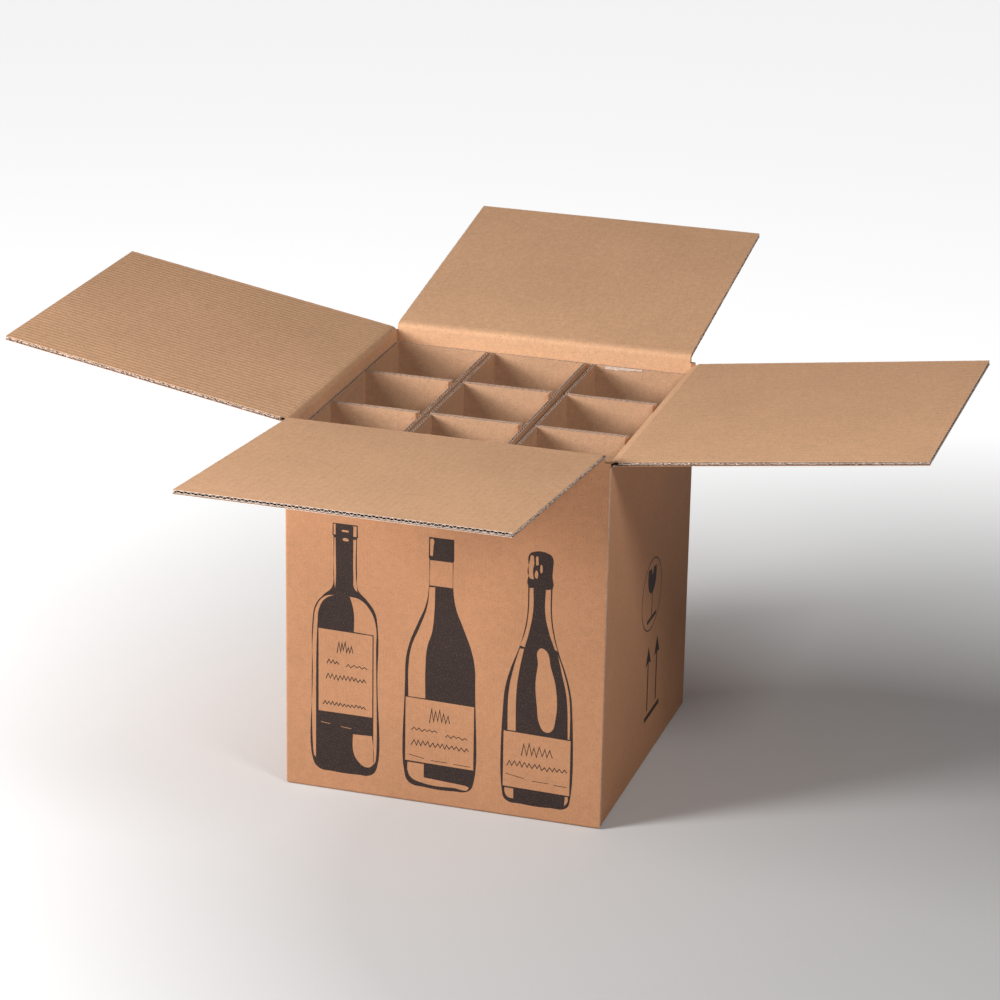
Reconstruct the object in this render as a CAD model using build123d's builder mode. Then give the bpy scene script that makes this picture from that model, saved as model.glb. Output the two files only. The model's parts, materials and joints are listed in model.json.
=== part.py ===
"""Corrugated shipping carton for nine bottles, in millimetres.

The carton is one folded blank of double-wall board.  Its bottom flaps are folded shut, and its four
full-length top flaps stand open.  Three folded columns of single-wall board stand side by side inside,
and each holds three bottles.  The origin is on the floor under the middle of the carton.  X runs to the
right along the front, Y runs to the back and Z runs up.
"""

from build123d import *
import os

# Boards
board_t = 4.2  # double-wall board of the carton
insert_t = 2.8  # single-wall board of the bottle columns

# Carton, over its outer faces
box_width = 313.0
box_depth = 313.0
first_crease_z = 360.0  # lowest top crease, that of the flap that closes first
bottom_layers = 4  # full-length bottom flaps, folded over one another

# Top flaps
flap_end_gap = 18.0  # from the cut edge of a closed side flap to the wall across from it
slot_gap = 0.7  # from each side edge of a flap to the walls that it drops between
flap_corner_r = 2.0
layer_gap = 0.15  # air between two closed flaps

# Creases between walls and top flaps
crease_gap = 0.3
crease_r = 1.0  # rolled edge of the crushed board, round the hinge line
lip_t = 1.5  # crushed wall board that reaches up to the roll

# Angles above level at which the open flaps rest
front_angle = 5.1
left_angle = 9.9
back_angle = 9.7
right_angle = 7.2

# Folds and glued lap of the blank
fold_r = 2.5
glue_lap_w = 35.0
glue_lap_t = 2.0
glue_lap_drop = 6.0  # from the lowest closed flap down to the lap

# Bottle columns
columns = 3
rows = 3
column_gaps = (0.6, 4.1, 6.8, 1.6)  # left wall, between columns, right wall
lap_clearance = 1.3  # from a column's end to the glued lap
insert_headroom = 2.1  # from a column's top to the lowest closed flap
sheet_gap = 0.4  # between the two sheets of a doubled cross wall
turn_gap = 2.5  # from the turned end of a cross wall to the column's right wall
insert_lap_w = 30.0
turn_r = 2.4  # outer radius of the turned end of a cross wall

# Worked out from the values above
inner_width = box_width - 2 * board_t
inner_depth = box_depth - 2 * board_t
layer_step = board_t + layer_gap
floor_z = bottom_layers * board_t
blank_flap = min(box_width, box_depth) - board_t - flap_end_gap
plate_start = lip_t + 2 * crease_gap
insert_top_z = first_crease_z - board_t - insert_headroom
insert_depth = inner_depth - 2 * (glue_lap_t + lap_clearance)
insert_width = (inner_width - sum(column_gaps)) / columns


def crease_z(layer):
    """Height of the hinge line of the flap that lies in this layer when it is closed."""
    return first_crease_z + layer * layer_step


def flap_length(layer):
    """Crease to cut edge.  The blank's edge is straight, so a higher crease leaves a shorter flap."""
    return blank_flap - layer * layer_step


def wall_top_z(layer):
    """Top of the full-thickness wall under a closed flap."""
    return crease_z(layer) - board_t - crease_gap


def lip_top_z(layer):
    """Top of the crushed wall board, just under the rolled crease."""
    return crease_z(layer) - crease_r - crease_gap


# Name, layer, angle, direction out of the box, distance of the wall's outer face, width of the flap
side_flap_w = inner_depth - 2 * slot_gap
end_flap_w = inner_width - 2 * slot_gap
flaps = (
    ("top_flap_right", 0, right_angle, Vector(1, 0, 0), box_width / 2, side_flap_w),
    ("top_flap_left", 1, left_angle, Vector(-1, 0, 0), box_width / 2, side_flap_w),
    ("top_flap_back", 2, back_angle, Vector(0, 1, 0), box_depth / 2, end_flap_w),
    ("top_flap_front", 2, front_angle, Vector(0, -1, 0), box_depth / 2, end_flap_w),
)


def save(part, name):
    """Labels a finished piece and writes it as a STEP file."""
    part.label = name
    export_step(part, "parts/" + name + ".step")


# Carton body: four walls, crushed lips along their tops, folded bottom and glued lap
front_y = -(box_depth - board_t) / 2
back_y = -front_y
right_x = (box_width - board_t) / 2
left_x = -right_x

# Width, depth, top and place of each upright wall, and last the folded bottom
slabs = (
    (box_width, board_t, wall_top_z(2), 0, front_y),
    (box_width, board_t, wall_top_z(2), 0, back_y),
    (board_t, box_depth, wall_top_z(1), left_x, 0),
    (board_t, box_depth, wall_top_z(0), right_x, 0),
    (box_width, box_depth, floor_z, 0, 0),
)

with BuildPart() as carton_body:
    for width, depth, top, x, y in slabs:
        with BuildSketch(Plane.XY):
            with Locations((x, y)):
                Rectangle(width, depth)
        extrude(amount=top)

    # The three folded corners are round; the fourth is the cut edge over the glued lap
    corner_edges = carton_body.edges().filter_by(Axis.Z).filter_by(lambda e: e.length > first_crease_z)
    outer_corners = corner_edges.filter_by(lambda e: abs(e.center().X) > right_x)
    folded_corners = outer_corners.filter_by(lambda e: e.center().X < 0 or e.center().Y > 0)
    fillet(folded_corners, radius=fold_r)
    fillet(carton_body.faces().sort_by(Axis.Z)[0].edges(), radius=fold_r)

    # Lips that carry the flaps
    for name, layer, angle, out, reach, width in flaps:
        centre = out * (reach - lip_t / 2)
        lip_x = lip_t if out.X else width
        lip_y = width if out.X else lip_t
        with BuildSketch(Plane.XY.offset(wall_top_z(layer))):
            with Locations((centre.X, centre.Y)):
                Rectangle(lip_x, lip_y)
        extrude(amount=lip_top_z(layer) - wall_top_z(layer))

    # Glued lap, inside the front wall at its right end
    with BuildSketch(Plane.XY.offset(floor_z)):
        with Locations((inner_width / 2, -inner_depth / 2)):
            Rectangle(glue_lap_w, glue_lap_t, align=(Align.MAX, Align.MIN))
    extrude(amount=first_crease_z - board_t - glue_lap_drop - floor_z)

    # The cut edge of the outermost bottom flap leaves a step underneath, near the back wall
    under_y = -box_depth / 2 + blank_flap
    with BuildSketch(Plane.XY):
        with Locations((0, under_y)):
            Rectangle(inner_width, inner_depth / 2 - under_y, align=(Align.CENTER, Align.MIN))
    extrude(amount=board_t, mode=Mode.SUBTRACT)

    # The cut edge of the innermost bottom flap leaves a step inside, near the left wall
    over_x = box_width / 2 - blank_flap
    with BuildSketch(Plane.XY.offset(floor_z - board_t)):
        with Locations((over_x, 0)):
            Rectangle(over_x + inner_width / 2, inner_depth, align=(Align.MAX, Align.CENTER))
    extrude(amount=board_t, mode=Mode.SUBTRACT)

save(carton_body.part, "carton_body")


# Top flaps: a plate of board, a thinner crushed strip and the rolled crease round the hinge line
def flap_plane(layer, angle, out, reach):
    """Plane across the flap at its hinge line: x runs out along the flap, y is its inner face's normal."""
    along = Vector(0, 0, 1).cross(out)
    tilted = out.rotate(Axis((0, 0, 0), along), -angle)
    origin = out * (reach + crease_gap) + Vector(0, 0, crease_z(layer))
    return Plane(origin=origin, x_dir=tilted, z_dir=tilted.cross(Vector(0, 0, 1)).normalized())


def make_flap(name, layer, angle, out, reach, width):
    length = flap_length(layer)
    with BuildPart() as flap:
        with BuildSketch(flap_plane(layer, angle, out, reach)):
            Circle(crease_r)
            Rectangle(plate_start, crease_r, align=(Align.MIN, Align.MIN))
            with Locations((plate_start, 0)):
                Rectangle(length - plate_start, board_t, align=(Align.MIN, Align.MIN))
        extrude(amount=width / 2, both=True)
        cut_corners = flap.edges().filter_by(lambda e: abs(e.length - board_t) < layer_gap / 10)
        cut_corners = cut_corners.filter_by(lambda e: e.center().dot(out) > reach + length / 2)
        fillet(cut_corners, radius=flap_corner_r)
    save(flap.part, name)
    return flap.part


top_flaps = [make_flap(*row) for row in flaps]


# Bottle columns: one strip runs along the right wall and the back, turns into each doubled cross wall,
# runs along the front and is glued to its own other end
def make_column(name, x0):
    x1 = x0 + insert_width
    y0 = -insert_depth / 2
    y1 = insert_depth / 2
    cross_t = 2 * insert_t + sheet_gap
    cell_depth = (insert_depth - 2 * insert_t - (rows - 1) * cross_t) / rows
    cross_y = [y1 - insert_t - (k + 1) * cell_depth - (k + 0.5) * cross_t for k in range(rows - 1)]
    turn_x = x1 - insert_t - turn_gap
    corner = (Align.MIN, Align.MIN)
    with BuildPart() as column:
        with BuildSketch(Plane.XY.offset(floor_z)) as outline:
            with Locations((x0, y0)):
                Rectangle(insert_width, insert_t, align=corner)
                Rectangle(insert_t, insert_depth, align=corner)
            with Locations((x1 - insert_t, y0)):
                Rectangle(insert_t, insert_depth, align=corner)
            with Locations((x0, y1 - insert_t)):
                Rectangle(insert_width, insert_t, align=corner)
            with Locations((x1 - insert_t - insert_lap_w, y0 + insert_t)):
                Rectangle(insert_lap_w, insert_t, align=corner)
            for y in cross_y:
                with Locations((x0, y - cross_t / 2)):
                    Rectangle(turn_x - x0, cross_t, align=corner)
                with Locations((x0, y - sheet_gap / 2)):
                    Rectangle(turn_x - x0 - insert_t, sheet_gap, align=corner, mode=Mode.SUBTRACT)
            turns = outline.vertices().filter_by(lambda v: abs(v.X - turn_x) < layer_gap)
            fillet(turns, radius=turn_r)
            left_folds = outline.vertices().filter_by(lambda v: abs(v.X - x0) < layer_gap)
            back_fold = outline.vertices().filter_by(lambda v: v.X > x1 - layer_gap and v.Y > y0 + insert_t)
            fillet(left_folds + back_fold, radius=turn_r)
        extrude(amount=insert_top_z - floor_z)
    save(column.part, name)
    return column.part


column_names = ("insert_left", "insert_middle", "insert_right")
bottle_columns = []
column_x = -inner_width / 2
for number, column_name in enumerate(column_names):
    column_x += column_gaps[number]
    bottle_columns.append(make_column(column_name, column_x))
    column_x += insert_width
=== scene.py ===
"""Looks of an open corrugated carton for nine bottles.

Its board has real flutes, its creases are rolled, and it has three bottle columns and printed walls.
"""

import json
import math

import bmesh
import bpy
from mathutils import Matrix, Vector, noise


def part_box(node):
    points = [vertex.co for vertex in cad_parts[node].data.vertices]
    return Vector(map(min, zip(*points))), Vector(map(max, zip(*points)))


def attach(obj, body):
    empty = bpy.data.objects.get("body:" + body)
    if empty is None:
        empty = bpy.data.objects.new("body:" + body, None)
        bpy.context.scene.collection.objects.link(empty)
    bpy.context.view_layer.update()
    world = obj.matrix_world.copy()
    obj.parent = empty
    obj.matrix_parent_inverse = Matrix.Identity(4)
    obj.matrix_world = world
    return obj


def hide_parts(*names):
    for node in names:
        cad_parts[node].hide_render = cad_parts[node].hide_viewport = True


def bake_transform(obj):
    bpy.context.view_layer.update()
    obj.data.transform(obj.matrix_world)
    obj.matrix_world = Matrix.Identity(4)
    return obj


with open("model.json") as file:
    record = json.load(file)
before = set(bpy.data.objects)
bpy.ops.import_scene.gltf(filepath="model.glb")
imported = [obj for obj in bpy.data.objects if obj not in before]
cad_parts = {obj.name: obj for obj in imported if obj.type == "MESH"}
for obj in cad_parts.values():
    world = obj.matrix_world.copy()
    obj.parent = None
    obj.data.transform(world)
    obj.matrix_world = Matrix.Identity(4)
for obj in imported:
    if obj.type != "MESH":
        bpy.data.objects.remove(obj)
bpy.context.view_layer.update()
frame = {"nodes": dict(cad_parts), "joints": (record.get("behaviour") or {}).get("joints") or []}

MM = 0.001
UP = Vector((0, 0, 1))

# Double-wall board of the carton: three liners with fine flutes outside and coarse flutes inside
BOARD = 4.2 * MM
LINER = 0.4 * MM
FLUTE_PAPER = 0.3 * MM
FINE_PITCH = 3.3 * MM
COARSE_PITCH = 6.5 * MM
MID_LINER = 1.5 * MM  # middle of the inner sheet, above the board's outer face

# Single-wall board of the bottle columns
COLUMN_BOARD = 2.8 * MM
COLUMN_LINER = 0.35 * MM
COLUMN_PITCH = 6.0 * MM

joints = {joint["name"]: joint for joint in frame["joints"]}
carton_low, carton_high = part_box("carton_body")
HALF_WIDTH = carton_high.x
HALF_DEPTH = carton_high.y


# ---------------------------------------------------------------- materials


def add(tree, kind, **settings):
    """A new node with its settings."""
    node = tree.nodes.new(kind)
    for name, value in settings.items():
        setattr(node, name, value)
    return node


def math_node(tree, operation, first, second=None, third=None):
    """A math node fed by sockets or plain numbers."""
    node = add(tree, "ShaderNodeMath", operation=operation)
    for socket, value in zip(node.inputs, (first, second, third)):
        if value is None:
            continue
        if isinstance(value, (int, float)):
            socket.default_value = value
        else:
            tree.links.new(value, socket)
    return node.outputs[0]


def noise_node(tree, vector, scale, detail=2.0, roughness=0.5):
    node = add(tree, "ShaderNodeTexNoise")
    node.inputs["Scale"].default_value = scale
    node.inputs["Detail"].default_value = detail
    node.inputs["Roughness"].default_value = roughness
    tree.links.new(vector, node.inputs["Vector"])
    return node.outputs["Fac"]


def stretched(tree, vector, scale):
    """The vector with each axis scaled by itself, so that a pattern runs along one of them."""
    node = add(tree, "ShaderNodeMapping")
    node.inputs["Scale"].default_value = scale
    tree.links.new(vector, node.inputs["Vector"])
    return node.outputs["Vector"]


def remap(tree, value, low, high, to_low, to_high):
    node = add(tree, "ShaderNodeMapRange")
    tree.links.new(value, node.inputs["Value"])
    for name, number in (("From Min", low), ("From Max", high), ("To Min", to_low), ("To Max", to_high)):
        node.inputs[name].default_value = number
    return node.outputs["Result"]


def mix_colour(tree, factor, first, second, blend="MIX"):
    node = add(tree, "ShaderNodeMix", data_type="RGBA", blend_type=blend)
    for socket, value in zip((node.inputs[0], node.inputs[6], node.inputs[7]), (factor, first, second)):
        if isinstance(value, bpy.types.NodeSocket):
            tree.links.new(value, socket)
        elif isinstance(value, (int, float)):
            socket.default_value = value
        else:
            socket.default_value = (*value, 1)
    return node.outputs[2]


def new_group(name, inputs, outputs):
    """A shader node group with named inputs and outputs; returns it with its two end nodes."""
    group = bpy.data.node_groups.new(name, "ShaderNodeTree")
    for socket_name, kind, default in inputs:
        socket = group.interface.new_socket(socket_name, in_out="INPUT", socket_type=kind)
        if default is not None:
            socket.default_value = default
    for socket_name, kind in outputs:
        group.interface.new_socket(socket_name, in_out="OUTPUT", socket_type=kind)
    return group, group.nodes.new("NodeGroupInput"), group.nodes.new("NodeGroupOutput")


def make_paper_group():
    """Kraft paper: clouds, speckle and fibres of pulp round a base colour, and a height for the bump."""
    group, given, result = new_group(
        "kraft_paper",
        [
            ("Colour", "NodeSocketColor", (0.5, 0.3, 0.15, 1)),
            ("Vector", "NodeSocketVector", None),
            ("Speckle", "NodeSocketFloat", 1.0),
        ],
        [("Colour", "NodeSocketColor"), ("Roughness", "NodeSocketFloat"), ("Height", "NodeSocketFloat")],
    )
    vector = given.outputs["Vector"]
    cloud = noise_node(group, vector, 9, 3)
    mottle = noise_node(group, vector, 170, 3, 0.6)
    grain = noise_node(group, vector, 620, 2, 0.6)
    fibre_up = noise_node(group, stretched(group, vector, (1, 1, 0.12)), 1400, 1)
    fibre_across = noise_node(group, stretched(group, vector, (0.12, 0.3, 1)), 1400, 1)
    fibres = math_node(group, "MAXIMUM", fibre_up, fibre_across)
    cloud_shift = remap(group, cloud, 0.3, 0.7, -0.045, 0.045)
    mottle_shift = remap(group, mottle, 0.3, 0.7, -0.06, 0.06)
    grain_shift = remap(group, grain, 0.3, 0.7, -0.075, 0.075)
    fibre_shift = remap(group, fibres, 0.62, 0.8, 0.0, 0.11)
    speckle = math_node(group, "ADD", math_node(group, "ADD", mottle_shift, grain_shift), fibre_shift)
    speckle = math_node(group, "MULTIPLY", speckle, given.outputs["Speckle"])
    level = math_node(group, "ADD", math_node(group, "ADD", speckle, cloud_shift), 1.0)
    scaled = add(group, "ShaderNodeVectorMath", operation="SCALE")
    group.links.new(given.outputs["Colour"], scaled.inputs[0])
    group.links.new(level, scaled.inputs["Scale"])
    dark_fleck = remap(group, noise_node(group, vector, 900, 0), 0.70, 0.76, 0.0, 0.35)
    flecked = mix_colour(group, dark_fleck, scaled.outputs[0], (0.12, 0.06, 0.03))
    group.links.new(flecked, result.inputs["Colour"])
    group.links.new(remap(group, mottle, 0.3, 0.7, 0.80, 0.92), result.inputs["Roughness"])
    fibre_height = math_node(group, "MULTIPLY", fibres, 0.4)
    height = math_node(group, "MULTIPLY_ADD", grain, 0.6, fibre_height)
    group.links.new(height, result.inputs["Height"])
    return group


def make_flute_group():
    """Faint lines where a liner sinks between its flutes, used as bumps and as painted shade in the paper's
    colour; Along is the coordinate that they cross.
    """
    group, given, result = new_group(
        "flute_lines",
        [
            ("Along", "NodeSocketFloat", 0.0),
            ("Vector", "NodeSocketVector", None),
            ("Pitch", "NodeSocketFloat", FINE_PITCH),
        ],
        [("Line", "NodeSocketFloat")],
    )
    turns = math_node(group, "DIVIDE", given.outputs["Along"], given.outputs["Pitch"])
    wander = math_node(group, "MULTIPLY", noise_node(group, given.outputs["Vector"], 25, 1), 0.8)
    phase = math_node(group, "MULTIPLY", math_node(group, "ADD", turns, wander), 2 * math.pi)
    wave = math_node(group, "SINE", phase)
    patchy = remap(group, noise_node(group, given.outputs["Vector"], 40, 2), 0.3, 0.7, 0.2, 1.0)
    group.links.new(math_node(group, "MULTIPLY", wave, patchy), result.inputs["Line"])
    return group


PAPER = make_paper_group()
FLUTES = make_flute_group()


def new_material(name, specular=0.25):
    """An empty material: its tree, its shader and its object coordinates."""
    material = bpy.data.materials.new(name)
    material.use_nodes = True
    tree = material.node_tree
    shader = tree.nodes["Principled BSDF"]
    shader.inputs["Specular IOR Level"].default_value = specular
    coordinates = add(tree, "ShaderNodeTexCoord").outputs["Object"]
    return material, tree, shader, coordinates


def place_paper(tree, coordinates, colour, speckle=1.0):
    """The kraft paper group in a material; colour is a socket or three numbers."""
    node = add(tree, "ShaderNodeGroup", node_tree=PAPER)
    tree.links.new(coordinates, node.inputs["Vector"])
    node.inputs["Speckle"].default_value = speckle
    if isinstance(colour, bpy.types.NodeSocket):
        tree.links.new(colour, node.inputs["Colour"])
    else:
        node.inputs["Colour"].default_value = (*colour, 1)
    return node


def add_bump(tree, shader, height, distance, strength=0.6):
    bump = add(tree, "ShaderNodeBump")
    bump.inputs["Distance"].default_value = distance
    bump.inputs["Strength"].default_value = strength
    tree.links.new(height, bump.inputs["Height"])
    tree.links.new(bump.outputs["Normal"], shader.inputs["Normal"])


def paper_material(name, colour, speckle=1.0, bump=0.05 * MM):
    """Plain kraft paper of one colour."""
    material, tree, shader, coordinates = new_material(name)
    paper = place_paper(tree, coordinates, colour, speckle)
    tree.links.new(paper.outputs["Colour"], shader.inputs["Base Color"])
    tree.links.new(paper.outputs["Roughness"], shader.inputs["Roughness"])
    add_bump(tree, shader, paper.outputs["Height"], bump)
    return material


OUTER_KRAFT = (0.455, 0.224, 0.116)
INNER_KRAFT = (0.740, 0.428, 0.245)
COLUMN_KRAFT = (0.570, 0.335, 0.200)
EDGE_PAPER = (0.66, 0.51, 0.42)
# Near-black paper for the flutes and middle liner inside the board: painted shade for the openings between the
# liners, darker than the kraft they are made of
FLUTE_SHADE_COLOUR = (0.035, 0.022, 0.017)
COLUMN_FLUTE = (0.34, 0.22, 0.16)
INK = (0.036, 0.026, 0.024)


def pick(tree, factor, first, second):
    """One of two numbers, or between them."""
    node = add(tree, "ShaderNodeMix", data_type="FLOAT")
    for socket, value in zip((node.inputs[0], node.inputs[2], node.inputs[3]), (factor, first, second)):
        if isinstance(value, bpy.types.NodeSocket):
            tree.links.new(value, socket)
        else:
            socket.default_value = value
    return node.outputs[0]


def draw_flute_bumps_and_painted_shade(tree, shader, coordinates, paper, along, pitch, depth):
    """Colours and bumps the shader as paper with faint flute lines across one coordinate; in the colour the
    lines are painted shade, darker where the liner sinks and lighter where it rises.
    """
    lines = add(tree, "ShaderNodeGroup", node_tree=FLUTES)
    lines.inputs["Pitch"].default_value = pitch
    tree.links.new(along, lines.inputs["Along"])
    tree.links.new(coordinates, lines.inputs["Vector"])
    # Painted shade: the paper's colour is scaled down in the lines' troughs and up on their crests
    shade = math_node(tree, "MULTIPLY_ADD", lines.outputs["Line"], depth, 1.0)
    painted_shade_colour = add(tree, "ShaderNodeVectorMath", operation="SCALE")
    tree.links.new(paper.outputs["Colour"], painted_shade_colour.inputs[0])
    tree.links.new(shade, painted_shade_colour.inputs["Scale"])
    tree.links.new(painted_shade_colour.outputs[0], shader.inputs["Base Color"])
    tree.links.new(paper.outputs["Roughness"], shader.inputs["Roughness"])
    height = math_node(tree, "MULTIPLY_ADD", lines.outputs["Line"], 0.35, paper.outputs["Height"])
    add_bump(tree, shader, height, 0.06 * MM)


def flap_liner_material():
    """Inner liner of the top flaps: its lines of bump and painted shade run from hinge to cut edge, the
    painted shade clearer on the side flaps.
    """
    material, tree, shader, coordinates = new_material("inner_liner")
    paper = place_paper(tree, coordinates, INNER_KRAFT)
    split = add(tree, "ShaderNodeSeparateXYZ")
    tree.links.new(coordinates, split.inputs[0])
    x, y, z = split.outputs
    side = math_node(tree, "GREATER_THAN", math_node(tree, "ABSOLUTE", x), HALF_WIDTH)
    along = pick(tree, side, x, y)
    # Strength of the painted flute shade: faint on the front and back flaps, clearer on the side flaps
    depth = pick(tree, side, 0.004, 0.035)
    draw_flute_bumps_and_painted_shade(tree, shader, coordinates, paper, along, COARSE_PITCH, depth)
    return material


def carton_material():
    """Board of the walls: a darker liner outside, a paler one inside and faint upright flute lines, bumped and
    painted as shade into the colour.
    """
    material, tree, shader, coordinates = new_material("carton_walls")
    split = add(tree, "ShaderNodeSeparateXYZ")
    tree.links.new(coordinates, split.inputs[0])
    x, y, z = split.outputs
    reach_x = math_node(tree, "ABSOLUTE", x)
    reach_y = math_node(tree, "ABSOLUTE", y)
    inside_x = math_node(tree, "LESS_THAN", reach_x, HALF_WIDTH - BOARD + 0.2 * MM)
    inside_y = math_node(tree, "LESS_THAN", reach_y, HALF_DEPTH - BOARD + 0.2 * MM)
    above_floor = math_node(tree, "GREATER_THAN", z, BOARD * 2)
    inside = math_node(tree, "MULTIPLY", math_node(tree, "MULTIPLY", inside_x, inside_y), above_floor)
    paper = place_paper(tree, coordinates, mix_colour(tree, inside, OUTER_KRAFT, INNER_KRAFT))
    normal = add(tree, "ShaderNodeTexCoord").outputs["Normal"]
    normal_split = add(tree, "ShaderNodeSeparateXYZ")
    tree.links.new(normal, normal_split.inputs[0])
    side = math_node(tree, "GREATER_THAN", math_node(tree, "ABSOLUTE", normal_split.outputs[0]), 0.7)
    # Upright flute lines as bumps and as painted shade in the wall's colour
    draw_flute_bumps_and_painted_shade(tree, shader, coordinates, paper, pick(tree, side, x, y), FINE_PITCH, 0.015)
    return material


def ink_material():
    """Thin dark flexographic ink, with the paper's grain showing through it."""
    material, tree, shader, coordinates = new_material("printed_ink", specular=0.08)
    worn = remap(tree, noise_node(tree, coordinates, 900, 2), 0.55, 0.75, 0.0, 0.20)
    paper = place_paper(tree, coordinates, mix_colour(tree, worn, INK, OUTER_KRAFT), 1.2)
    tree.links.new(paper.outputs["Colour"], shader.inputs["Base Color"])
    tree.links.new(remap(tree, worn, 0.0, 0.2, 0.62, 0.8), shader.inputs["Roughness"])
    add_bump(tree, shader, paper.outputs["Height"], 0.05 * MM)
    return material


carton_walls = carton_material()
outer_liner = paper_material("outer_liner", OUTER_KRAFT)
inner_liner = flap_liner_material()
column_liner = paper_material("column_liner", COLUMN_KRAFT)
cut_edge = paper_material("cut_edge", EDGE_PAPER, 2.2, 0.12 * MM)
flute_painted_shade = paper_material("flute_painted_shade", FLUTE_SHADE_COLOUR, 1.5)
column_flute = paper_material("column_flute", COLUMN_FLUTE, 1.5)
printed_ink = ink_material()


# ---------------------------------------------------------------- board


def sweep_edges(bm, edges, sweep):
    """Sweeps a chain or ring of edges along a vector; returns the new edges that run along it."""
    swept = bmesh.ops.extrude_edge_only(bm, edges=edges)["geom"]
    ends = {part for part in swept if isinstance(part, bmesh.types.BMVert)}
    bmesh.ops.translate(bm, verts=list(ends), vec=sweep)
    return [edge for vert in ends for edge in vert.link_edges if edge.other_vert(vert) not in ends]


def join_sheet(bm, sheet, thickness, direction, slots):
    """Makes a sheet of paper solid, away from its normals, and adds it to a piece.  slots are the material
    numbers of its faces and of its cut edges across the direction."""
    bmesh.ops.solidify(sheet, geom=sheet.faces[:], thickness=thickness)
    sheet.normal_update()
    for face in sheet.faces:
        face.material_index = slots[1] if abs(face.normal.dot(direction)) > 0.7 else slots[0]
    mesh = bpy.data.meshes.new("sheet")
    sheet.to_mesh(mesh)
    sheet.free()
    bm.from_mesh(mesh)
    bpy.data.meshes.remove(mesh)


def ribbon(bm, path, sweep, thickness, cuts=0, slots=(0, 1)):
    """One sheet of paper: a path swept along a vector, cut across and made solid towards path x sweep."""
    sheet = bmesh.new()
    points = [sheet.verts.new(point) for point in path]
    edges = [sheet.edges.new(pair) for pair in zip(points, points[1:])]
    rungs = sweep_edges(sheet, edges, sweep)
    if cuts:
        bmesh.ops.subdivide_edges(sheet, edges=rungs, cuts=cuts, use_grid_fill=True)
    join_sheet(bm, sheet, thickness, sweep.normalized(), slots)


def finish_piece(name, bm, matrix, materials, body=None):
    """Makes the mesh's object at the origin, with smooth faces, sharp edges and its materials."""
    bmesh.ops.transform(bm, matrix=matrix, verts=bm.verts)
    bmesh.ops.recalc_face_normals(bm, faces=bm.faces)
    for face in bm.faces:
        face.smooth = True
    for edge in bm.edges:
        edge.smooth = len(edge.link_faces) == 2 and edge.calc_face_angle() < math.radians(40)
    mesh = bpy.data.meshes.new(name)
    bm.to_mesh(mesh)
    bm.free()
    for material in materials:
        mesh.materials.append(material)
    piece = bpy.data.objects.new(name, mesh)
    bpy.context.scene.collection.objects.link(piece)
    if body:
        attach(piece, body)
    return piece


def spaced(start, end, step):
    """Numbers from start to end, evenly apart by about the step."""
    count = max(1, round((end - start) / step))
    return [start + (end - start) * k / count for k in range(count + 1)]


def washboard(across, depth):
    """How far a liner sinks between the tips of the coarse flutes."""
    return -depth * (0.5 - 0.5 * math.cos(2 * math.pi * across / COARSE_PITCH))


def flap_frame(side):
    """Matrix of an open flap: x along its hinge line, y out to its cut edge, z from its outer to its inner
    face.  Also its width, its length from the hinge line and its angle above level."""
    joint = joints["top_flap_" + side + "_crease"]
    hinge = Vector(joint["pos_m"])
    along = Vector(joint["axis"])
    out = UP.cross(along)
    low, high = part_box("top_flap_" + side)
    reach = max(out.dot(low), out.dot(high)) - out.dot(hinge)
    angle = math.atan2(high.z - hinge.z - BOARD, reach)
    angle = math.atan2(high.z - hinge.z - BOARD * math.cos(angle), reach)
    tilted = Matrix.Rotation(angle, 3, along) @ out
    normal = along.cross(tilted)
    matrix = Matrix((along, tilted, normal)).transposed().to_4x4()
    matrix.translation = hinge
    return matrix, abs(along.dot(high - low)), reach / math.cos(angle), angle


CREASE_END = 6 * MM  # from the hinge line to where the flap's board is whole again
WALL_PART = 9 * MM  # how far the rolled crease reaches down the wall
EDGE_MARGIN = 1.0 * MM  # ragged strip along the side edges of a flap
FLAP_CUTS = 14  # across each sheet of a flap, so that it can wave


def flap_warp(across, out, length, number):
    """Slow, shallow waves of a board that has been handled, none at its creased edge."""
    wave = noise.noise(Vector((across * 9, out * 9, number * 7)))
    beyond = max(0, out - CREASE_END) / length
    return 0.04 * MM * wave * min(1, beyond / 0.3)


def make_flap(side, number, depth, torn):
    """The board of one top flap, from the end of its crease to its cut edge."""
    matrix, width, length, angle = flap_frame(side)
    half = width / 2 - EDGE_MARGIN
    sweep = Vector((0, length - CREASE_END, 0))
    bm = bmesh.new()
    across = spaced(-half, half, COARSE_PITCH / 6)
    levels = (
        (0, lambda u: 0.0),
        (MID_LINER - LINER / 2, lambda u: 0.0),
        (BOARD - LINER, lambda u: washboard(u, depth)),
    )
    # The middle liner (slot 2) and the flutes take the near-black flute paper: painted shade inside the board
    for slot, (level, sag) in zip((0, 2, 1), levels):
        path = [Vector((u, CREASE_END, level + sag(u))) for u in across]
        ribbon(bm, path, sweep, LINER, FLAP_CUTS, (slot, 3))
    middle = MID_LINER + LINER / 2
    for low, high, pitch, paper in (
        (LINER, MID_LINER - LINER / 2, FINE_PITCH, 0.7 * FLUTE_PAPER),
        (middle, BOARD - LINER, COARSE_PITCH, 1.2 * FLUTE_PAPER),
    ):
        path = []
        for u in spaced(-half, half, pitch / 8):
            wave = 0.5 + 0.5 * math.cos(2 * math.pi * u / pitch)
            wave = min(1, max(0, 0.5 + 1.25 * (wave - 0.5)))
            path.append(Vector((u, CREASE_END, low + (high - low - paper) * wave)))
        ribbon(bm, path, sweep, paper, FLAP_CUTS, (2, 3))
    for sign in (-1, 1):
        ragged_edge(bm, sign * half, sign, CREASE_END, length, number, torn)
    for vert in bm.verts:
        vert.co.z += flap_warp(vert.co.x, vert.co.y, length, number)
    materials = (outer_liner, inner_liner, flute_painted_shade, cut_edge)
    piece = finish_piece("flap_" + side, bm, matrix, materials, "top_flap_" + side)
    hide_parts("top_flap_" + side)
    return piece


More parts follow.
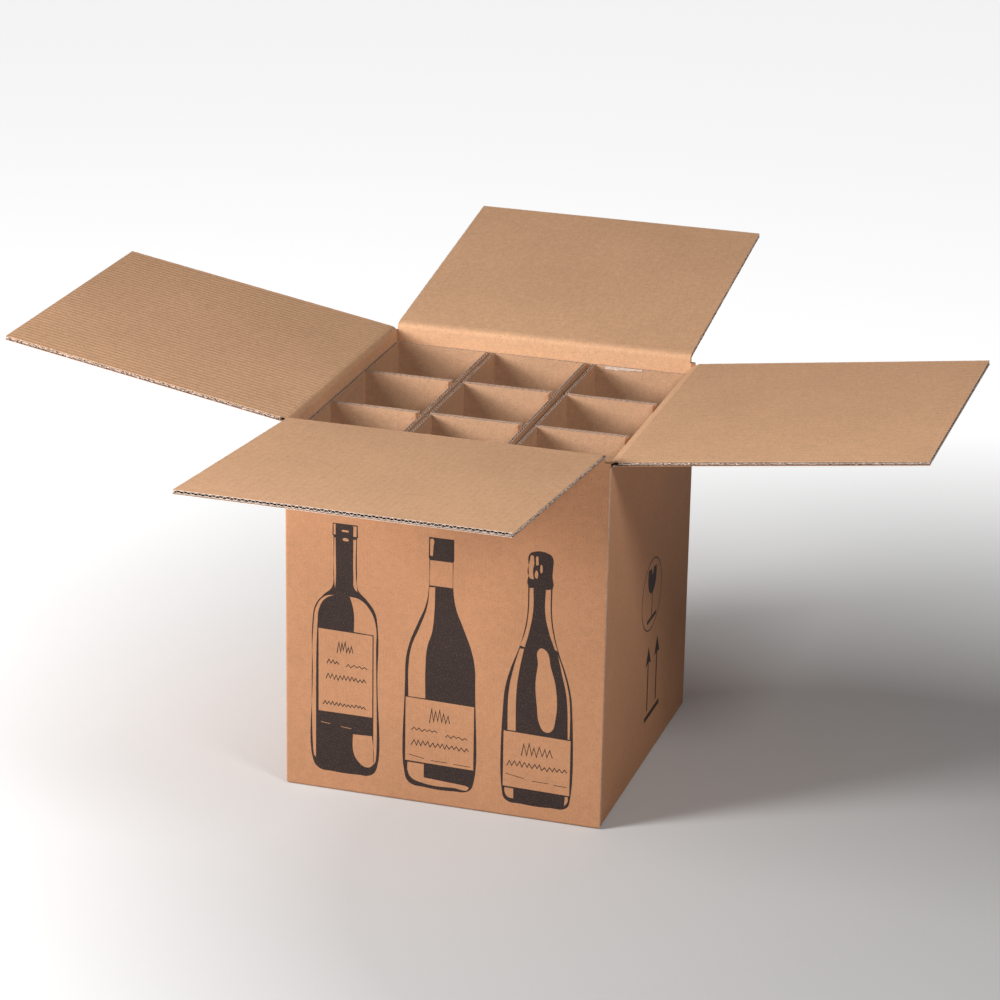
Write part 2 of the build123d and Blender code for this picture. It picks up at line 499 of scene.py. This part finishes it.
def ragged_edge(bm, start, sign, low, high, seed, torn):
    """The side edge of a flap, cut along its flutes: nicked liners with scraps of flute between them.
    torn is how much of the scraps is missing."""
    steps = spaced(low, high, 1.3 * MM)
    # Slot 2, a scrap of flute low in the edge, takes the near-black flute paper: painted shade between the
    # liners
    layers = ((0, LINER / 2), (1, BOARD - LINER / 2), (2, 1.2 * MM), (3, 1.9 * MM), (3, 2.9 * MM))
    for slot, level in layers:
        sheet = bmesh.new()
        points = [sheet.verts.new((start, out, level + sign * LINER / 2)) for out in steps]
        edges = [sheet.edges.new(pair) for pair in zip(points, points[1:])]
        rungs = sweep_edges(sheet, edges, Vector((sign * EDGE_MARGIN, 0, 0)))
        bmesh.ops.subdivide_edges(sheet, edges=rungs, cuts=1, use_grid_fill=True)
        loose = 1.1 if slot > 1 else 0.03
        for vert in sheet.verts:
            share = abs(vert.co.x - start) / EDGE_MARGIN
            jag = noise.noise(Vector((vert.co.y * 330, seed * 3 + level * 900, sign)))
            lift = noise.noise(Vector((vert.co.y * 190, seed * 5 + level * 700, sign * 2)))
            nick = max(0, jag + torn) * 14 if slot > 1 else abs(jag) * 0.7
            vert.co.x -= sign * nick * MM * share
            vert.co.z += loose * lift * share * MM
        join_sheet(bm, sheet, LINER, Vector((1, 0, 0)), (slot, slot if slot < 2 else 3))


def bezier(start, first, second, end, count):
    """Points of a cubic curve, without its start."""
    points = []
    for k in range(1, count + 1):
        t = k / count
        points.append(
            start * (1 - t) ** 3 + first * 3 * t * (1 - t) ** 2 + second * 3 * t * t * (1 - t) + end * t ** 3
        )
    return points


def nearest(path, point):
    return min((point - other).length for other in path)


def make_crease(side, number, depth, height):
    """The crushed, rolled board between a wall and its open flap.
    height is how thick the board still is at the fold."""
    matrix, width, length, angle = flap_frame(side)
    # The section lies in y, out from the wall, and z, up, round the hinge line
    out = Vector((0, math.cos(angle), math.sin(angle)))
    inward = Vector((0, -math.sin(angle), math.cos(angle)))
    wall_out = -0.24 * MM
    wall_in = wall_out - BOARD - 0.12 * MM
    inner_start = Vector((0, wall_in, -WALL_PART))
    inner_top = Vector((0, wall_in, -1.2 * MM))
    inner_roll = out * 2.9 * MM + inward * (height + 0.7 * (BOARD - height) + 0.05 * MM)
    inner_end = out * CREASE_END + inward * BOARD
    inner = [inner_start, inner_top.lerp(inner_start, 0.5), inner_top]
    up_from_wall = inner_top + UP * (height + 0.4 * MM)
    over_hinge = inward * (height + 0.3 * MM)
    inner += bezier(inner_top, up_from_wall, over_hinge, inner_roll, 10)
    level_out = out * 4.6 * MM + inward * BOARD
    inner += bezier(inner_roll, inner_roll.lerp(level_out, 0.6), level_out, inner_end, 6)
    inner.append(out * (CREASE_END + 1.5 * MM) + inward * (BOARD - 0.7 * MM))
    outer_start = Vector((0, wall_out, -WALL_PART))
    outer_top = Vector((0, wall_out, -1.6 * MM))
    outer_end = out * CREASE_END
    outer = [outer_start, outer_top]
    outer += bezier(outer_top, outer_top + UP * 1.6 * MM, out * 0.6 * MM, outer_end, 8)
    bm = bmesh.new()
    ring = [bm.verts.new(point + Vector((-width / 2, 0, 0))) for point in outer + inner[::-1]]
    edges = [bm.edges.new(pair) for pair in zip(ring, ring[1:] + ring[:1])]
    rungs = sweep_edges(bm, edges, Vector((width, 0, 0)))
    for face in bm.faces:
        centre = face.calc_center_median()
        face.material_index = 1 if nearest(inner, centre) < nearest(outer, centre) else 0
    bmesh.ops.subdivide_edges(bm, edges=rungs, cuts=round(width / COARSE_PITCH * 6), use_grid_fill=True)
    rims = [edge for edge in bm.edges if edge.is_boundary]
    caps = bmesh.ops.holes_fill(bm, edges=rims, sides=0)["faces"]
    bmesh.ops.recalc_face_normals(bm, faces=bm.faces)
    for face in caps:
        face.material_index = 2
    bmesh.ops.inset_individual(bm, faces=caps, thickness=0.4 * MM, depth=-3 * MM)
    # The sunk middle of each end takes the near-black flute paper: painted shade in the open board
    for face in caps:
        face.material_index = 3
    for vert in bm.verts:
        along_out = vert.co.dot(out)
        above = vert.co.dot(inward)
        if along_out > 0.5 * MM and above > height * 0.8 and abs(vert.co.x) < width / 2 - MM:
            # The flutes show up to the fold, which is smooth
            showing = max(0, min(1, (along_out - 0.5 * MM) / (1.5 * MM)))
            vert.co += inward * washboard(vert.co.x, depth * showing)
            roll = noise.noise(Vector((vert.co.x * 45, number * 3, along_out * 60)))
            vert.co += inward * roll * 0.08 * MM * min(1, max(0, (CREASE_END - along_out) / (5 * MM)))
    hinge = matrix.translation
    along = matrix.to_3x3() @ Vector((1, 0, 0))
    level = Matrix((along, UP.cross(along), UP)).transposed().to_4x4()
    level.translation = hinge
    piece = finish_piece("crease_" + side, bm, level, (outer_liner, inner_liner, cut_edge, flute_painted_shade))
    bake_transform(piece)
    return piece


# How deep the coarse flutes show on each flap's inner face, how thick its board still is at the fold, and how
# torn its side edges are
FLAP_BOARDS = (
    ("front", 0.03 * MM, 2.6 * MM, -0.25),
    ("left", 0.22 * MM, 3.7 * MM, 0.1),
    ("back", 0.03 * MM, 3.5 * MM, -0.1),
    ("right", 0.16 * MM, 1.8 * MM, 0.15),
)
for flap_number, (flap_side, ripple_depth, fold_height, edge_torn) in enumerate(FLAP_BOARDS):
    make_flap(flap_side, flap_number, ripple_depth, edge_torn)
    make_crease(flap_side, flap_number, ripple_depth, fold_height)


# ---------------------------------------------------------------- bottle columns


def rounded_path(corners, radius, step):
    """Points along a polyline whose corners are arcs."""
    points = [Vector(corners[0])]
    for before, corner, after in zip(corners, corners[1:], corners[2:]):
        corner = Vector(corner)
        to_before = (Vector(before) - corner).normalized()
        to_after = (Vector(after) - corner).normalized()
        half_turn = to_before.angle(to_after) / 2
        reach = radius / math.tan(half_turn)
        centre = corner + (to_before + to_after).normalized() * (radius / math.sin(half_turn))
        first = corner + to_before * reach
        last = corner + to_after * reach
        points += straight(points[-1], first, step)[1:]
        turn = (first - centre).angle_signed(last - centre)
        for k in range(1, 6):
            points.append(centre + Matrix.Rotation(-turn * k / 5, 2) @ (first - centre))
    points += straight(points[-1], Vector(corners[-1]), step)[1:]
    return points


def straight(start, end, step):
    count = max(1, round((end - start).length / step))
    return [start.lerp(end, k / count) for k in range(count + 1)]


def offset_path(points, distance):
    """The path moved to its left; distance is a number or a function of the length along the path."""
    moved = []
    travelled = 0.0
    for k, point in enumerate(points):
        before = points[max(0, k - 1)]
        after = points[min(len(points) - 1, k + 1)]
        if k:
            travelled += (point - before).length
        direction = (after - before).normalized()
        shift = distance(travelled) if callable(distance) else distance
        moved.append(point + Vector((-direction.y, direction.x)) * shift)
    return moved


COLUMN_CORNER = 1.6 * MM  # radius of the middle of the board where it folds
CROSS_SHEETS_GAP = 0.4 * MM
TURN_GAP = 2.5 * MM
LAP_WIDTH = 30 * MM


def fray_top(bm, start, end, face, top):
    """Peeled liner along the top of a column's back wall, where the cut has crushed it."""
    sheet = bmesh.new()
    points = [sheet.verts.new((x, face - 0.12 * MM, top - 0.15 * MM)) for x in spaced(start, end, 1.5 * MM)]
    edges = [sheet.edges.new(pair) for pair in zip(points, points[1:])]
    sweep_edges(sheet, edges, Vector((0, -0.5 * MM, -3.2 * MM)))
    for vert in sheet.verts:
        if vert.co.z < top - MM:
            share = (vert.co.x - start) / (end - start)
            torn = noise.noise(Vector((vert.co.x * 260, 3, 7)))
            vert.co.z += (1.9 * share ** 2 + 0.9 * torn) * MM
            vert.co.y += 0.25 * torn * MM
    join_sheet(bm, sheet, 0.2 * MM, Vector((1, 0, 0)), (2, 2))


def make_column(name, number):
    """One bottle column: a single strip of board folded round three cells."""
    low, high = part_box(name)
    half = COLUMN_BOARD / 2
    left = low.x + half
    right = high.x - half
    front = low.y + half
    back = high.y - half
    sheet = (COLUMN_BOARD + CROSS_SHEETS_GAP) / 2
    cell = (high.y - low.y - 2 * COLUMN_BOARD - 2 * (2 * COLUMN_BOARD + CROSS_SHEETS_GAP)) / 3
    turn = high.x - COLUMN_BOARD - TURN_GAP - half
    corners = [
        (right - LAP_WIDTH, front + COLUMN_BOARD),
        (right, front + COLUMN_BOARD),
        (right, back),
        (left, back),
    ]
    for k in (1, 2):
        cross = high.y - COLUMN_BOARD - k * cell - (k - 0.5) * (2 * COLUMN_BOARD + CROSS_SHEETS_GAP)
        corners += [(left, cross + sheet), (turn, cross + sheet)]
        corners += [(turn, cross - sheet), (left, cross - sheet)]
    corners += [(left, front), (high.x, front)]
    middle = rounded_path(corners, COLUMN_CORNER * 0.98, COLUMN_PITCH / 8)
    skin = half - COLUMN_LINER / 2
    wave_reach = half - COLUMN_LINER - FLUTE_PAPER / 2
    sheets = (
        (lambda s: skin, COLUMN_LINER, 0),
        (lambda s: -skin, COLUMN_LINER, 0),
        (lambda s: wave_reach * math.sin(2 * math.pi * s / COLUMN_PITCH), FLUTE_PAPER, 1),
    )
    bm = bmesh.new()
    for shift, thickness, slot in sheets:
        path = [Vector((p.x, p.y, low.z)) for p in offset_path(middle, shift)]
        ribbon(bm, path, Vector((0, 0, high.z - low.z)), thickness, 3, (slot, 2))
    top = high.z - 1 * MM
    for vert in bm.verts:
        if vert.co.z > top:
            uneven = noise.noise(Vector((vert.co.x * 35, vert.co.y * 35, number * 4)))
            vert.co.z -= 0.5 * MM * abs(uneven)
    if number == 2:
        fray_top(bm, left + 12 * MM, left + 50 * MM, high.y - COLUMN_BOARD, high.z)
    materials = (column_liner, column_flute, cut_edge)
    piece = finish_piece(name.replace("insert", "column"), bm, Matrix(), materials, "carton")
    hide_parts(name)
    return piece


for column_number, column_name in enumerate(("insert_left", "insert_middle", "insert_right")):
    make_column(column_name, column_number)


# ---------------------------------------------------------------- carton body

frame["nodes"]["carton_body"].data.materials.clear()
frame["nodes"]["carton_body"].data.materials.append(carton_walls)


def make_raw_corner():
    """The front wall's cut edge at its right end, along the glued corner: liners with torn flutes between."""
    low = carton_low.z + 2.6 * MM
    high = joints["top_flap_right_crease"]["pos_m"][2] - 1 * MM
    front = -HALF_DEPTH
    bm = bmesh.new()
    sheets = (
        # The flute sheets (slot 1) take the near-black flute paper: painted shade between the liners
        (LINER, 0.0, 0.10, 0),
        (LINER + 0.4 * MM, 0.25, 0.35, 1),
        (MID_LINER, 0.05, 0.15, 0),
        (MID_LINER + 1.1 * MM, 0.30, 0.40, 1),
        (BOARD - LINER / 2, 0.0, 0.12, 0),
    )
    for number, (level, inset, ragged, slot) in enumerate(sheets):
        path = []
        for z in spaced(low, high, 1.5 * MM):
            jag = noise.noise(Vector((z * 330, number * 3.7, 1)))
            wander = noise.noise(Vector((z * 210, number * 5.1, 2))) if slot else 0
            x = HALF_WIDTH + 0.28 * MM - (inset + ragged * abs(jag)) * MM
            path.append(Vector((x, front + level + (0.35 + wander * 0.35) * MM, z)))
        ribbon(bm, path, Vector((-2.5 * MM, 0, 0)), 0.7 * MM, 0, (slot, 2))
    piece = finish_piece("raw_corner", bm, Matrix(), (outer_liner, flute_painted_shade, cut_edge), "carton")
    return piece


make_raw_corner()


# ---------------------------------------------------------------- print

INK_LIFT = 0.04 * MM


def add_outline(curve, points, closed=True):
    """One outline on a flat curve, from (x, z) in millimetres; a third item marks a sharp corner."""
    spline = curve.splines.new("BEZIER")
    spline.bezier_points.add(len(points) - 1)
    spline.use_cyclic_u = closed
    for target, point in zip(spline.bezier_points, points):
        target.co = (point[0] * MM, point[1] * MM, 0)
        kind = "VECTOR" if len(point) > 2 else "AUTO"
        target.handle_left_type = kind
        target.handle_right_type = kind


def sharp(*points):
    """Marks every point of a straight-sided outline as a corner."""
    return [(x, z, 1) for x, z in points]


def stroke(points, width):
    """The outline of a pen stroke through the points: sharp inside each turn and blunt outside."""
    sides = ([], [])
    for k, point in enumerate(points):
        here = Vector(point)
        before = (here - Vector(points[k - 1])).normalized() if k else None
        after = (Vector(points[k + 1]) - here).normalized() if k + 1 < len(points) else None
        before = before or after
        after = after or before
        across = Vector((-before.y, before.x))
        normal = (across + Vector((-after.y, after.x))).normalized()
        reach = width / 2 / max(0.06, normal.dot(across))
        turn = before.cross(after)
        for side, sign in zip(sides, (1, -1)):
            length = reach if sign * turn >= 0 else min(reach, width * 0.7)
            side.append((here.x + sign * normal.x * length, here.y + sign * normal.y * length, 1))
    return sides[0] + sides[1][::-1]


def scribble(x0, x1, z, height, teeth, width, seed):
    """A zigzag line that stands for writing, with uneven teeth."""
    points = []
    for k in range(2 * teeth + 1):
        share = k / (2 * teeth)
        size = height * (1.0 - 0.45 * share + 0.7 * noise.noise(Vector((k * 0.9, seed, 3))))
        sway = 0.25 * noise.noise(Vector((k * 1.7, seed, 9))) / teeth
        tip = size / 2 if k % 2 else -size / 2
        points.append((x0 + (x1 - x0) * (share + sway), z + tip - share * height * 0.1))
    return stroke(points, width)


def print_piece(name, outlines, matrix):
    """Fills the outlines with ink, leaving out what lies inside a second outline."""
    curve = bpy.data.curves.new(name, "CURVE")
    curve.dimensions = "2D"
    curve.fill_mode = "BOTH"
    curve.resolution_u = 8
    curve.extrude = 0.01 * MM
    for points in outlines:
        add_outline(curve, points)
    holder = bpy.data.objects.new(name + "_curve", curve)
    bpy.context.scene.collection.objects.link(holder)
    bpy.context.view_layer.update()
    mesh = bpy.data.meshes.new_from_object(holder)
    bpy.data.objects.remove(holder)
    bm = bmesh.new()
    bm.from_mesh(mesh)
    bpy.data.meshes.remove(mesh)
    piece = finish_piece(name, bm, matrix, (printed_ink,), "carton")
    return piece


# Drawing planes: x to the right and y up the wall, standing just off it
FRONT_PLANE = Matrix.Translation((0, -HALF_DEPTH - INK_LIFT, 0)) @ Matrix.Rotation(math.pi / 2, 4, "X")
RIGHT_PLANE = (
    Matrix.Translation((HALF_WIDTH + INK_LIFT, 0, 0))
    @ Matrix.Rotation(math.pi / 2, 4, "Z")
    @ Matrix.Rotation(math.pi / 2, 4, "X")
)


def mirrored(half, centre):
    """A closed outline from its right half, listed from top to bottom as (distance from centre, height)."""
    right = [(centre + point[0], *point[1:]) for point in half]
    left = [(centre - point[0], *point[1:]) for point in half]
    return right + left[::-1]


def straight_shouldered_bottle():
    """Tall body, round shoulders and a straight neck."""
    c = -96.5
    outlines = [
        mirrored([(12.3, 273.5, 1), (12.6, 261.5, 1), (11.6, 260.5, 1), (11.8, 225), (13.0, 209),
                  (21.5, 200), (29.5, 189), (32.3, 175), (32.4, 120), (32.4, 30), (27, 21.5), (12, 19.5)], c),
        # Bare paper inside: left edge of the glass, both sides of the neck, right of the upper body
        [(c - 31.4, 172), (c - 31.4, 34), (c - 29.4, 32, 1), (c - 27.6, 170), (c - 25.5, 187), (c - 19, 197),
         (c - 11, 201, 1), (c - 19.5, 199), (c - 28, 189)],
        [(c - 10.8, 259, 1), (c - 9.6, 259, 1), (c - 9.4, 214), (c - 10.2, 208, 1), (c - 11.2, 222)],
        [(c + 8.0, 259, 1), (c + 10.8, 259, 1), (c + 10.6, 224), (c + 12.3, 207, 1), (c + 9.2, 210),
         (c + 8.2, 222)],
        [(c - 11.5, 272.5, 1), (c - 9.5, 272.5, 1), (c - 9.5, 262, 1), (c - 11.5, 262, 1)],
        [(c + 8.0, 272.3, 1), (c + 11.2, 272.3, 1), (c + 11.2, 262, 1), (c + 8.0, 262, 1)],
        [(c - 3.5, 266.5), (c, 265.6), (c + 3.5, 266.3), (c, 267.4)],
        [(c - 2.6, 258), (c + 0.5, 256.4), (c + 3.4, 257.6), (c + 0.3, 259.6)],
        [(c + 4.5, 201.5, 1), (c + 15, 199.5), (c + 25, 190), (c + 30.4, 176), (c + 30.9, 150),
         (c + 30.9, 36), (c + 28.6, 32, 1), (c + 28.4, 165.4, 1), (c + 8.8, 166.2, 1), (c + 8.8, 184),
         (c + 7, 194)],
        # Label
        sharp((c - 26.6, 165.6), (c + 27.4, 164.6), (c + 27.4, 81), (c - 26.6, 81)),
        # Bare lower right of the glass
        [(c + 8.0, 61.0, 1), (c + 27.2, 61.8, 1), (c + 29.0, 40), (c + 27.5, 31), (c + 21.5, 28.6),
         (c + 13, 34), (c + 8.6, 43)],
        stroke([(c - 24, 69.5), (c - 15, 68.6)], 0.6),
        stroke([(c - 4, 67.3), (c + 6.5, 66.4)], 0.6),
        scribble(c - 8, c + 8, 149, 13, 5, 0.9, 1),
        scribble(c - 18, c - 6, 133, 5, 3, 0.9, 2),
        scribble(c + 1, c + 22, 131, 3, 4, 0.8, 3),
        scribble(c - 19, c + 21, 118, 6, 10, 0.9, 4),
        scribble(c - 22, c + 21, 90, 4, 11, 0.9, 5),
    ]
    return outlines


def sloping_bottle():
    """Wide body with long sloping shoulders and a capped neck."""
    c = -2.0
    return [
        mirrored([(12.2, 271.6, 1), (12.4, 251.5, 1), (11.7, 249, 1), (12.0, 221), (15.0, 203), (22.5, 184),
                  (30.5, 163), (34.0, 146), (34.6, 125), (34.6, 30), (30, 20), (14, 17)], c),
        [(c - 11.2, 269.5, 1), (c - 8.4, 270), (c - 7.9, 262), (c - 8.6, 252.8, 1), (c - 11.2, 253.4, 1)],
        sharp((c - 11.0, 248.8), (c + 11.0, 248.8), (c + 11.3, 223.6), (c - 11.3, 223.6)),
        [(c - 11.4, 221.8, 1), (c - 5.8, 222.2, 1), (c - 6.4, 196), (c - 8.4, 177), (c - 13.0, 161),
         (c - 14.6, 140), (c - 14.4, 108.6, 1), (c - 31.2, 108.6, 1), (c - 31.2, 141), (c - 28.2, 161),
         (c - 21.5, 178), (c - 13.4, 202)],
        sharp((c - 33.9, 107.8), (c + 33.9, 106.6), (c + 33.9, 41.6), (c - 33.9, 42.6)),
        [(c - 31.5, 41.0, 1), (c - 15.2, 40.8, 1), (c - 15.2, 27.0, 1), (c + 26, 24.6, 1), (c + 29.5, 22.6),
         (c + 14, 20.6), (c - 18, 21.4), (c - 28.5, 25.8), (c - 31.5, 33)],
        scribble(c - 10, c + 10, 92, 16, 5, 0.9, 11),
        scribble(c - 28, c - 2, 76, 3, 5, 0.8, 12),
        scribble(c + 6, c + 28, 73, 3, 4, 0.8, 13),
        scribble(c - 28, c + 29, 62, 6, 12, 0.9, 14),
        stroke([(c - 30, 49), (c - 15, 46.5)], 0.6),
        stroke([(c - 8, 45.6), (c + 8, 45.4)], 0.6),
        stroke([(c + 14, 45), (c + 31, 44.6)], 0.6),
    ]


def sparkling_bottle():
    """Heavy bottle with a foil-wrapped neck and a wired cork."""
    c = 93.8
    return [
        mirrored([(8.6, 269.4), (11.4, 266.4), (11.8, 256), (11.5, 247), (12.8, 240, 1), (11.6, 235, 1),
                  (12.0, 208), (15.2, 188), (19.6, 172), (26.5, 153), (31.5, 134), (33.4, 118), (33.4, 26),
                  (30, 17), (14, 14.6)], c),
        [(c - 10.4, 262), (c - 8.6, 266.5), (c - 6.4, 261), (c - 7.4, 251), (c - 6.4, 243, 1),
         (c - 10.4, 244)],
        [(c - 3.6, 266), (c - 2.4, 262), (c - 3.4, 257), (c - 4.6, 261)],
        [(c - 4.4, 252), (c - 3.6, 252), (c - 2.8, 245), (c - 4.0, 244)],
        [(c + 0.2, 258), (c + 1.0, 258), (c + 1.0, 250), (c + 0.2, 250)],
        [(c - 10.3, 234, 1), (c - 6.6, 234.5, 1), (c - 6.4, 212), (c - 9.5, 192), (c - 13.8, 174.5, 1),
         (c - 18.4, 175.6, 1), (c - 13.6, 190), (c - 10.9, 208)],
        [(c + 5.2, 234, 1), (c + 10.2, 235, 1), (c + 10.8, 208), (c + 13.6, 190), (c + 18.0, 174.5, 1),
         (c + 15.2, 176, 1), (c + 9.4, 192), (c + 5.4, 210)],
        [(c - 18.6, 172.5, 1), (c - 14.4, 172.8, 1), (c - 18.6, 150), (c - 20.8, 131), (c - 21.0, 88.6, 1),
         (c - 29.0, 88.6, 1), (c - 28.4, 128), (c - 24.4, 151)],
        [(c + 0.4, 174.5), (c + 5.4, 174.8), (c + 12.0, 157), (c + 17.4, 136), (c + 17.2, 104), (c + 13.4, 93),
         (c + 7.6, 91.6), (c + 2.6, 97.5), (c - 1.0, 118), (c - 2.6, 140), (c - 0.8, 158)],
        [(c + 18.2, 171.5, 1), (c + 24.8, 153), (c + 29.6, 134), (c + 31.4, 116), (c + 31.6, 87.4, 1),
         (c + 29.8, 87.5, 1), (c + 27.6, 130), (c + 22.8, 152)],
        sharp((c - 32.7, 87.6), (c + 32.7, 86.2), (c + 32.7, 29.8), (c - 32.7, 31)),
        [(c - 31.0, 29.4, 1), (c - 22.2, 29.2, 1), (c - 22.0, 19.0, 1), (c - 27.6, 20), (c - 30.4, 24)],
        [(c + 28.4, 28.4, 1), (c + 31.2, 28.6, 1), (c + 31.0, 23), (c + 27.8, 18.8, 1)],
        scribble(c - 15, c + 15, 71, 14, 6, 0.9, 21),
        scribble(c - 29, c + 30, 55, 6, 12, 0.9, 22),
        stroke([(c - 30, 44), (c - 12, 41)], 0.6),
        stroke([(c - 4, 39.6), (c + 12, 39.4)], 0.6),
        stroke([(c + 17, 38.6), (c + 30, 38.2)], 0.6),
    ]


def circle(x, z, radius):
    turns = [2 * math.pi * k / 12 for k in range(12)]
    return [(x + radius * math.cos(turn), z + radius * math.sin(turn)) for turn in turns]


def handling_marks():
    """A goblet in a ring, and two arrows that stand on a bar."""
    ring = [circle(12, 174, 36.5), circle(12, 174, 35.2)]
    goblet = [
        [(-3, 203, 1), (9, 201.6, 1), (13.4, 193, 1), (17, 200.8, 1), (27, 199.6, 1), (26.4, 186),
         (20.5, 177.6), (14.8, 174.8, 1), (14.8, 150.8, 1), (31, 150.8, 1), (31, 147, 1), (-3, 147, 1),
         (-3, 150.8, 1), (12.6, 150.8, 1), (12.6, 174.8, 1), (4.5, 178), (-2.2, 187)],
    ]
    arrows = []
    for x in (7, 39):
        arrows.append(sharp((x, 121), (x + 9.5, 102), (x + 1.7, 104), (x + 1.7, 53), (x - 1.7, 53),
                            (x - 1.7, 104), (x - 9.5, 102)))
    bar = [sharp((-2, 48.4), (53, 48.4), (53, 43.4), (-2, 43.4))]
    return ring + goblet + arrows + bar


print_piece("print_left_bottle", straight_shouldered_bottle(), FRONT_PLANE)
print_piece("print_middle_bottle", sloping_bottle(), FRONT_PLANE)
print_piece("print_right_bottle", sparkling_bottle(), FRONT_PLANE)
print_piece("print_handling_marks", handling_marks(), RIGHT_PLANE)


# ---------------------------------------------------------------- studio


def make_floor():
    bm = bmesh.new()
    bmesh.ops.create_grid(bm, x_segments=1, y_segments=1, size=30)
    material, tree, shader, coordinates = new_material("studio_floor", specular=0.1)
    shader.inputs["Base Color"].default_value = (0.6, 0.6, 0.6, 1)
    shader.inputs["Roughness"].default_value = 0.9
    # Away from the carton's right wall the floor glows, as if lit by lamps of its own
    distance = add(tree, "ShaderNodeVectorMath", operation="DISTANCE")
    tree.links.new(coordinates, distance.inputs[0])
    distance.inputs[1].default_value = (0.4, -0.2, 0)
    shader.inputs["Emission Color"].default_value = (1, 1, 1, 1)
    glow = remap(tree, distance.outputs["Value"], 0.45, 1.3, 0.0, 0.85)
    tree.links.new(glow, shader.inputs["Emission Strength"])
    floor = finish_piece("studio_floor", bm, Matrix.Translation((0, 0, -0.2 * MM)), (material,))


def add_area_light(name, place, target, size, power):
    light = bpy.data.lights.new(name, "AREA")
    light.shape = "DISK"
    light.size = size
    light.energy = power
    holder = bpy.data.objects.new(name, light)
    bpy.context.scene.collection.objects.link(holder)
    holder.location = place
    direction = Vector(target) - Vector(place)
    holder.rotation_euler = direction.to_track_quat("-Z", "Y").to_euler()


def make_camera():
    """A long lens from the front, a little to the right and above."""
    azimuth = math.radians(17.023)
    elevation = math.radians(20.357)
    roll = math.radians(1.033)
    distance = 3.36131
    target = Vector((0.00559, 0, 0.25571))
    back = Vector((
        math.sin(azimuth) * math.cos(elevation),
        -math.cos(azimuth) * math.cos(elevation),
        math.sin(elevation),
    ))
    right = (-back).cross(UP).normalized()
    up = right.cross(-back)
    rolled_right = right * math.cos(roll) + up * math.sin(roll)
    rolled_up = up * math.cos(roll) - right * math.sin(roll)
    camera = bpy.data.cameras.new("camera")
    camera.sensor_width = 36
    camera.lens = 125.586
    camera.clip_end = 60
    holder = bpy.data.objects.new("camera", camera)
    bpy.context.scene.collection.objects.link(holder)
    matrix = Matrix((rolled_right, rolled_up, back)).transposed().to_4x4()
    matrix.translation = target + back * distance
    holder.matrix_world = matrix
    bpy.context.scene.camera = holder


def light_studio():
    world = bpy.data.worlds.new("studio")
    world.use_nodes = True
    world.node_tree.nodes["Background"].inputs["Color"].default_value = (1, 1, 1, 1)
    world.node_tree.nodes["Background"].inputs["Strength"].default_value = 0.02
    bpy.context.scene.world = world
    bpy.context.scene.view_settings.view_transform = "Standard"
    middle = (0, 0, 0.3)
    add_area_light("front_left", (-1.6, -1.4, 1.0), middle, 0.7, 47)
    add_area_light("front_right", (1.3, -1.0, 1.6), middle, 0.5, 17)
    add_area_light("upper_left", (-1.0, -1.1, 1.2), middle, 0.5, 10)


make_floor()
make_camera()
light_studio()
